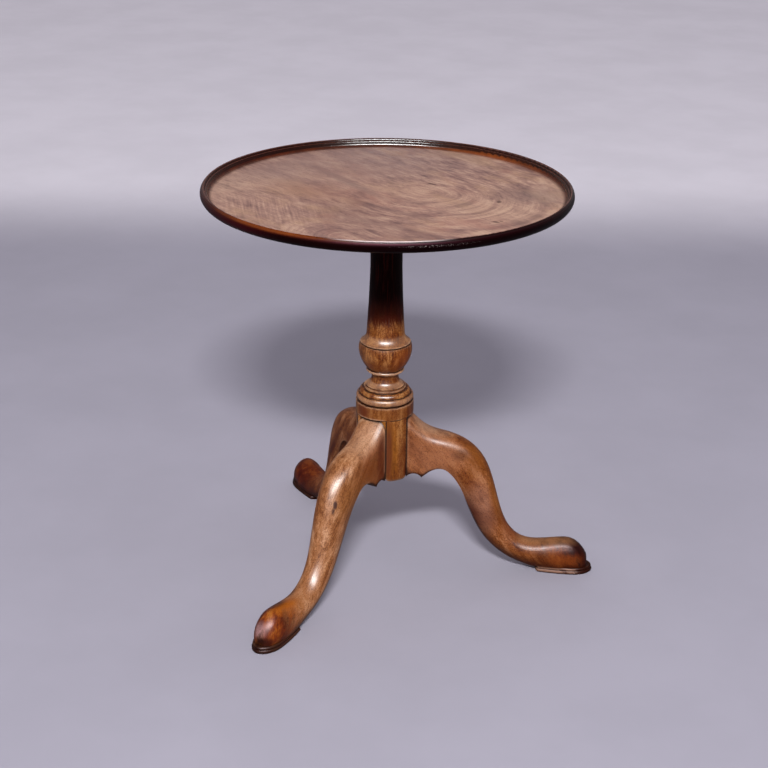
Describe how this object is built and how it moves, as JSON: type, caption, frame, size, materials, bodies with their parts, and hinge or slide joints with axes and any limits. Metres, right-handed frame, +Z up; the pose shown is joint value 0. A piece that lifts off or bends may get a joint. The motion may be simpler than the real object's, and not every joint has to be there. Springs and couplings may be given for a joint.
{
  "type": "tray top tea table",
  "caption": "Round tray top tea table: dished top with a moulded rim that tips up on a pivot block, over a turned vase column with cabriole legs and pad feet.",
  "frame": {"origin": "on the floor, on the axis of the column", "axes": "+Z up; -Y along the front leg; X along the axis that the top tips on, with the face of the tipped top towards +Y"},
  "size_m": [0.6466, 0.6737, 0.695],
  "materials": {
    "top_wood": "faded and waxed, figured grain",
    "column_wood": "polished, golden brown",
    "leg_wood": "polished, golden brown with worn knees",
    "frame_wood": "dry and unpolished",
    "brass": "aged",
    "steel": "darkened"
  },
  "bodies": {
    "stand": {"column": "column_wood", "leg_front": "leg_wood", "leg_right": "leg_wood", "leg_left": "leg_wood", "pivot_block": "frame_wood", "tenon_wedge": "frame_wood", "keeper_plate": "brass", "keeper_screws": "steel"},
    "top": {"tray_top": "top_wood", "bearer_left": "frame_wood", "bearer_right": "frame_wood", "bearer_screws": "steel", "catch_plate": "brass", "catch_case": "brass", "catch_screws": "steel", "catch_spring": "steel"},
    "catch": {"catch_bolt": "brass", "catch_knob": "brass"}
  },
  "joints": [
    {"name": "top_tilt", "type": "hinge", "parent": "stand", "child": "top", "pos_m": [0, 0.053, 0.655], "axis": [-1, 0, 0], "range_deg": [0, 90]},
    {"name": "bolt_slide", "type": "slide", "parent": "top", "child": "catch", "axis": [0, 1, 0], "range_m": [0, 0.009], "stiffness_N_per_m": 150, "springref_m": 0.014}
  ]
}
